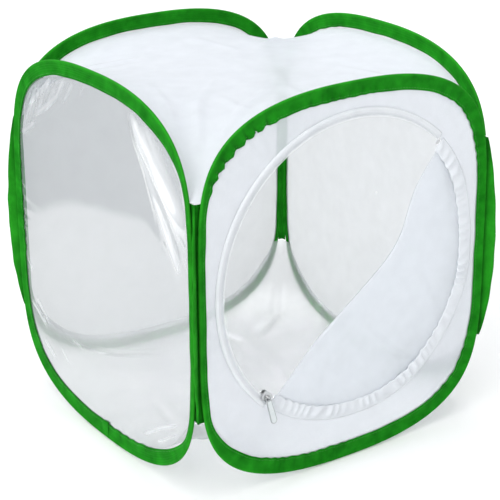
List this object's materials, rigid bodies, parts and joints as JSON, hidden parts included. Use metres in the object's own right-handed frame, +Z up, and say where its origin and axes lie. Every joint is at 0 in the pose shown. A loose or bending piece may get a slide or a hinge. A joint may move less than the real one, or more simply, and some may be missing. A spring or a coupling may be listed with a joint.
{
  "type": "insect cage",
  "caption": "Pop-up insect cage of four hooped side panels with a clear film side, cloth top and floor, and a round zipped door that folds inwards.",
  "frame": {"origin": "middle of the whole as seen from above, with the pull tab that stands out in front, on the surface that the cage stands on", "axes": "+Z up, +X to the right and +Y to the back for someone facing the door"},
  "size_m": [0.3052, 0.3115, 0.332],
  "materials": {
    "clear_film": "clear glossy vinyl film",
    "green_tape": "woven binding tape",
    "spring_steel": "bare spring steel",
    "white_mesh": "fine see-through mesh",
    "white_cloth": "soft woven cloth",
    "white_nylon": "nylon zipper coil",
    "plated_zinc": "dark plated zinc",
    "grey_pull": "satin grey"
  },
  "bodies": {
    "left_side": {"left_panel_film": "clear_film", "left_edge_tape": "green_tape", "left_hoop_wire": "spring_steel", "left_hoop_ferrule": "spring_steel", "top_sheet": "white_cloth", "bottom_sheet": "white_cloth", "front_left_corner_tape": "green_tape", "back_left_corner_tape": "green_tape"},
    "front_side": {"front_panel_mesh": "white_mesh", "front_edge_tape": "green_tape", "front_hoop_wire": "spring_steel", "front_hoop_ferrule": "spring_steel", "front_right_corner_tape": "green_tape", "door_flap_sewn_part": "white_mesh", "door_rim_tape": "white_cloth", "panel_zipper_tape": "white_cloth", "panel_zipper_coil": "white_nylon", "zipper_bottom_stop": "plated_zinc", "zipper_top_stop": "plated_zinc"},
    "back_side": {"back_panel_mesh": "white_mesh", "back_edge_tape": "green_tape", "back_hoop_wire": "spring_steel", "back_hoop_ferrule": "spring_steel", "back_right_corner_tape": "green_tape"},
    "right_side": {"right_panel_mesh": "white_mesh", "right_edge_tape": "green_tape", "right_hoop_wire": "spring_steel", "right_hoop_ferrule": "spring_steel"},
    "flap": {"door_flap": "white_mesh", "flap_zipper_tape": "white_cloth", "flap_zipper_coil": "white_nylon"},
    "slider": {"slider_body": "plated_zinc", "slider_bail": "plated_zinc"},
    "pull": {"pull_tab": "grey_pull"}
  },
  "joints": [
    {"name": "front_fold", "type": "hinge", "parent": "left_side", "child": "front_side", "pos_m": [-0.1482, -0.14499, 0.166], "axis": [0, 0, 1], "range_deg": [0, 86], "stiffness_Nm_per_rad": 0.12, "deforming": ["top_sheet", "bottom_sheet", "front_left_corner_tape"]},
    {"name": "back_fold", "type": "hinge", "parent": "left_side", "child": "back_side", "pos_m": [-0.1482, 0.15141, 0.166], "axis": [0, 0, 1], "range_deg": [0, 86], "deforming": ["back_left_corner_tape"]},
    {"name": "right_fold", "type": "hinge", "parent": "front_side", "child": "right_side", "pos_m": [0.1482, -0.14499, 0.166], "axis": [0, 0, 1], "range_deg": [-86, 0], "deforming": ["front_right_corner_tape", "back_right_corner_tape"]},
    {"name": "slider_run", "type": "hinge", "parent": "front_side", "child": "slider", "pos_m": [0.0025, -0.14764, 0.173], "axis": [0, -1, 0], "range_deg": [-176, 0]},
    {"name": "flap_fold", "type": "hinge", "parent": "front_side", "child": "flap", "pos_m": [0.0084, -0.14694, 0.1676], "axis": [-0.6756, 0, -0.7373], "range_deg": [-176, 0]},
    {"name": "pull_swing", "type": "hinge", "parent": "slider", "child": "pull", "pos_m": [-0.08652, -0.15269, 0.08242], "axis": [-0.9781, 0, -0.2079], "range_deg": [0, 150]}
  ],
  "couplings": [
    {"joint": "back_fold", "follows": "front_fold", "ratio": 1},
    {"joint": "right_fold", "follows": "front_fold", "ratio": -1},
    {"joint": "flap_fold", "follows": "slider_run", "ratio": 1}
  ]
}
